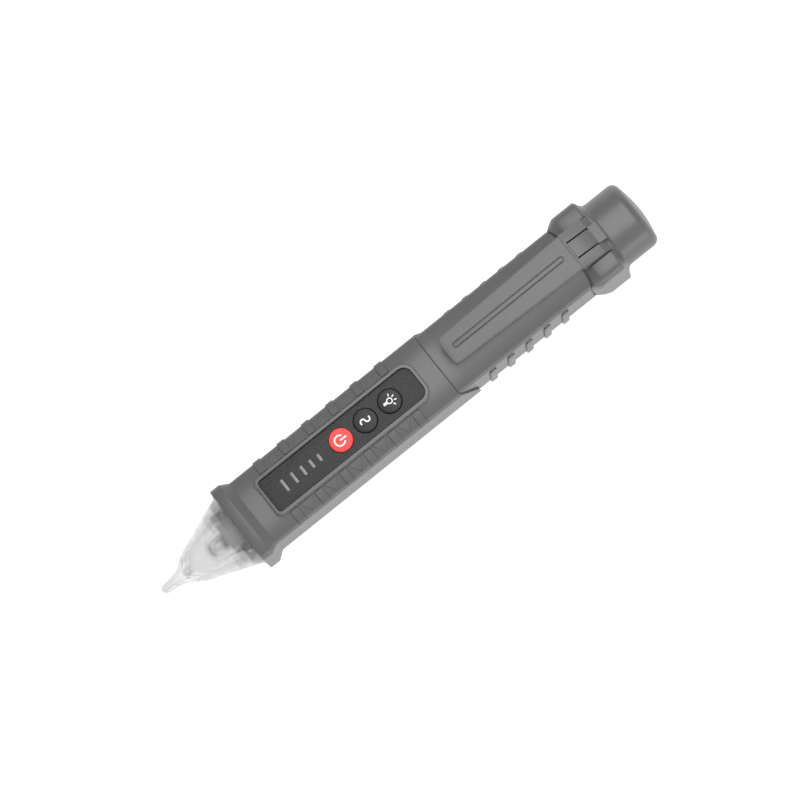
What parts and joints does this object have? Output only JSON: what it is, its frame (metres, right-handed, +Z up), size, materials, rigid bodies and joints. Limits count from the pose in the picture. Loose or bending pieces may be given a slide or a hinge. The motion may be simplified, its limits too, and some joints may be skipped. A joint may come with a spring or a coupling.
{
  "type": "non contact voltage tester",
  "caption": "Pen-shaped voltage tester with a clear blade-nosed tip, label panel with light bars and round keys, ribbed sleeve, and a pull-off tail cap with a pocket clip.",
  "frame": {"origin": "middle of the length and width, on the flat undersides of the two collars that the pen rests on", "axes": "+X from the clear nose to the battery cap, +Z up through the keys and the clip"},
  "size_m": [0.16, 0.0232, 0.0264],
  "materials": {
    "casing": "fine satin moulding texture, mid grey",
    "clip": "satin moulded plastic, a little lighter than the casing",
    "label": "dark printed overlay with a fine grain",
    "blackKey": "smooth black key",
    "redKey": "smooth bright red key",
    "bar": "diffusing grey light pipe",
    "clear": "clear polycarbonate, polished",
    "lamp": "clear lamp epoxy",
    "redLamp": "red indicator chip",
    "holder": "light grey moulded holder",
    "board": "green solder mask",
    "chip": "black moulded package",
    "steel": "nickel-plated steel",
    "brass": "tinned brass strip",
    "cell": "printed sleeve over a steel can"
  },
  "bodies": {
    "root": {"front_housing_top": "casing", "front_housing_bottom": "casing", "rear_sleeve": "casing", "label_plate": "label", "probe_tip": "clear", "lamp_holder": "holder", "sensing_strip": "brass", "nose_lamp": "lamp", "alarm_lamp": "redLamp", "circuit_board": "board", "control_chip": "chip", "buzzer": "chip", "front_cell": "cell", "rear_cell": "cell", "front_contact": "brass", "contact_rail": "brass", "light_bar_1": "bar", "bar_lamp_1": "redLamp", "light_bar_2": "bar", "bar_lamp_2": "redLamp", "light_bar_3": "bar", "bar_lamp_3": "redLamp", "light_bar_4": "bar", "bar_lamp_4": "redLamp", "light_bar_5": "bar", "bar_lamp_5": "redLamp", "key_switch_1": "steel", "key_switch_2": "steel", "key_switch_3": "steel"},
    "cap": {"tail_cap": "casing", "clip_root": "clip", "tail_contact": "brass", "cell_spring": "steel"},
    "clip": {"pocket_clip": "clip"},
    "latch": {"cap_latch": "clip"},
    "power_key": {"power_button": "redKey"},
    "sensitivity_key": {"sensitivity_button": "blackKey"},
    "lamp_key": {"lamp_button": "blackKey"}
  },
  "joints": [
    {"name": "power_press", "type": "slide", "parent": "root", "child": "power_key", "axis": [0, 0, -1], "range_m": [0, 0.0005], "stiffness_N_per_m": 1500},
    {"name": "sensitivity_press", "type": "slide", "parent": "root", "child": "sensitivity_key", "axis": [0, 0, -1], "range_m": [0, 0.0005], "stiffness_N_per_m": 1500},
    {"name": "lamp_press", "type": "slide", "parent": "root", "child": "lamp_key", "axis": [0, 0, -1], "range_m": [0, 0.0005], "stiffness_N_per_m": 1500},
    {"name": "cap_pull", "type": "slide", "parent": "root", "child": "cap", "axis": [1, 0, 0], "range_m": [0, 0.02]},
    {"name": "clip_lift", "type": "hinge", "parent": "cap", "child": "clip", "pos_m": [0.0587, 0, 0.026], "axis": [0, 1, 0], "range_deg": [0, 8], "stiffness_Nm_per_rad": 2},
    {"name": "latch_press", "type": "hinge", "parent": "cap", "child": "latch", "pos_m": [0.0598, 0, 0.025], "axis": [0, 1, 0], "range_deg": [0, 3], "stiffness_Nm_per_rad": 2}
  ]
}
